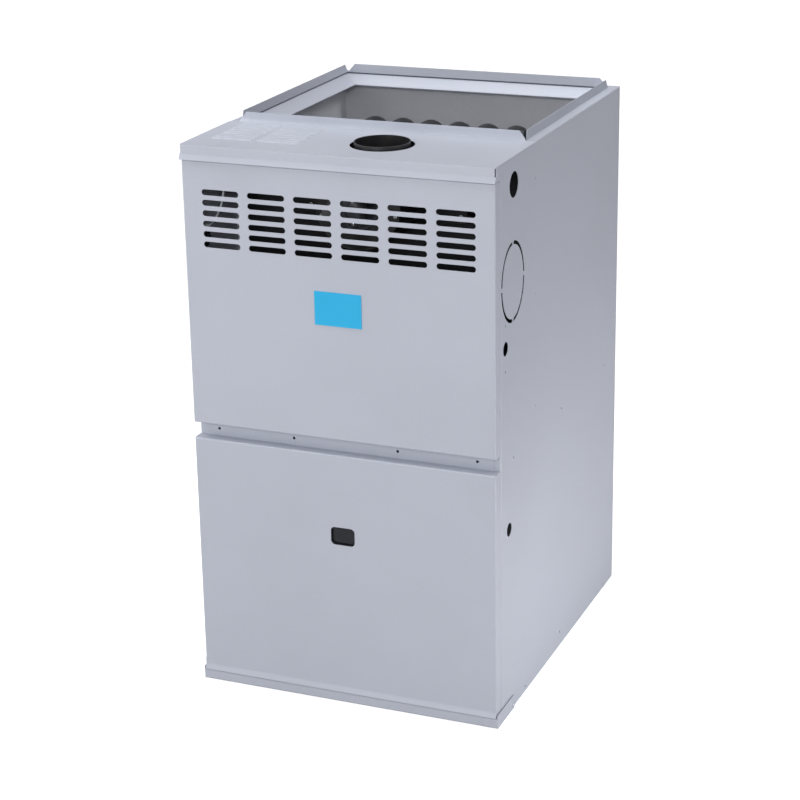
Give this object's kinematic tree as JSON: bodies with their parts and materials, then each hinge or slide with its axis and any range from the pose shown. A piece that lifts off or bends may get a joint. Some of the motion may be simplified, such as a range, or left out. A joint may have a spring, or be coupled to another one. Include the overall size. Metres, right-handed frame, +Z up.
{
  "type": "forced air gas furnace",
  "caption": "Upflow gas furnace: a folded sheet cabinet with louvred and plain lift-off doors, a duct flange, tube heat exchanger, burners, draught inducer and blower.",
  "frame": {"origin": "on the floor, under the middle of the cabinet", "axes": "+Z up, the doors face -Y, +X to the right of somebody who faces the doors"},
  "size_m": [0.5834, 0.713, 1.033],
  "materials": {
    "cabinet_paint": "cool light grey semi-gloss powder coat",
    "galvanised": "galvanised steel sheet",
    "dark_sheet": "dark heat-proof coated sheet",
    "foil": "matt aluminium foil facing",
    "badge_blue": "satin blue",
    "smoked_lens": "clear lens, dark behind",
    "aluminised_tube": "dark aluminised steel",
    "black_steel": "satin black",
    "brass": "turned brass",
    "cast_aluminium": "die cast",
    "red_plastic": "gloss",
    "ceramic": "unglazed ceramic",
    "black_plastic": "matt",
    "motor_paint": "grey enamel",
    "ground_steel": "ground",
    "white_plastic": "satin",
    "white_hose": "silicone hose",
    "board_green": "solder mask",
    "capacitor_can": "drawn can"
  },
  "bodies": {
    "cabinet": {"left_side_panel": "cabinet_paint", "right_side_panel": "cabinet_paint", "back_panel": "cabinet_paint", "front_base_rail": "cabinet_paint", "mid_rail": "cabinet_paint", "top_plate": "cabinet_paint", "duct_trim_left": "cabinet_paint", "duct_trim_right": "cabinet_paint", "duct_trim_rear": "cabinet_paint", "base_frame": "galvanised", "blower_deck": "galvanised", "cabinet_screws": "galvanised", "tube_support": "galvanised", "burner_set": "galvanised", "blower_housing": "galvanised", "control_bracket": "galvanised", "junction_box": "galvanised", "vestibule_panel": "dark_sheet", "collector_box": "dark_sheet", "burner_box": "dark_sheet", "foil_liner": "foil", "heat_tube_1": "aluminised_tube", "heat_tube_2": "aluminised_tube", "heat_tube_3": "aluminised_tube", "heat_tube_4": "aluminised_tube", "heat_tube_5": "aluminised_tube", "heat_tube_6": "aluminised_tube", "gas_manifold": "black_steel", "motor_mount": "black_steel", "inducer_housing": "black_steel", "flue_adapter": "black_steel", "flue_collar": "black_steel", "gas_orifices": "brass", "gas_valve": "cast_aluminium", "igniter": "ceramic", "flame_sensor": "ceramic", "pressure_switch": "black_plastic", "rollout_switches": "black_plastic", "limit_switch": "black_plastic", "door_switch": "black_plastic", "transformer": "black_plastic", "inducer_motor": "motor_paint", "blower_motor": "motor_paint", "pressure_tube": "white_hose", "control_board": "board_green", "capacitor": "capacitor_can"},
    "upper_door": {"upper_door": "cabinet_paint", "blank_badge": "badge_blue"},
    "lower_door": {"lower_door": "cabinet_paint", "sight_glass": "smoked_lens"},
    "blower_rotor": {"blower_wheel": "galvanised", "blower_shaft": "ground_steel"},
    "inducer_rotor": {"inducer_shaft": "ground_steel", "inducer_wheel": "galvanised", "inducer_fan": "motor_paint"},
    "gas_knob": {"gas_knob": "red_plastic"},
    "rollout_button_left": {"rollout_button_left": "red_plastic"},
    "rollout_button_right": {"rollout_button_right": "red_plastic"},
    "switch_plunger": {"switch_plunger": "white_plastic"}
  },
  "joints": [
    {"name": "upper_door_lift_off", "type": "slide", "parent": "cabinet", "child": "upper_door", "axis": [0, -1, 0], "range_m": [0, 0.35]},
    {"name": "lower_door_lift_off", "type": "slide", "parent": "cabinet", "child": "lower_door", "axis": [0, -1, 0], "range_m": [0, 0.35]},
    {"name": "blower_spin", "type": "hinge", "parent": "cabinet", "child": "blower_rotor", "pos_m": [0, 0.02, 0.23], "axis": [1, 0, 0], "continuous": true},
    {"name": "inducer_spin", "type": "hinge", "parent": "cabinet", "child": "inducer_rotor", "pos_m": [0.002, -0.26, 0.912], "axis": [0, 1, 0], "continuous": true},
    {"name": "gas_knob_turn", "type": "hinge", "parent": "cabinet", "child": "gas_knob", "pos_m": [0.226, -0.31, 0.672], "axis": [0, 1, 0], "range_deg": [0, 90]},
    {"name": "rollout_button_left_press", "type": "slide", "parent": "cabinet", "child": "rollout_button_left", "axis": [0, 0, -1], "range_m": [0, 0.0015], "stiffness_N_per_m": 400},
    {"name": "rollout_button_right_press", "type": "slide", "parent": "cabinet", "child": "rollout_button_right", "axis": [0, 0, -1], "range_m": [0, 0.0015], "stiffness_N_per_m": 400},
    {"name": "switch_plunger_slide", "type": "slide", "parent": "cabinet", "child": "switch_plunger", "axis": [0, -1, 0], "range_m": [0, 0.006]}
  ],
  "couplings": [
    {"joint": "switch_plunger_slide", "follows": "lower_door_lift_off", "ratio": 0.0171}
  ]
}
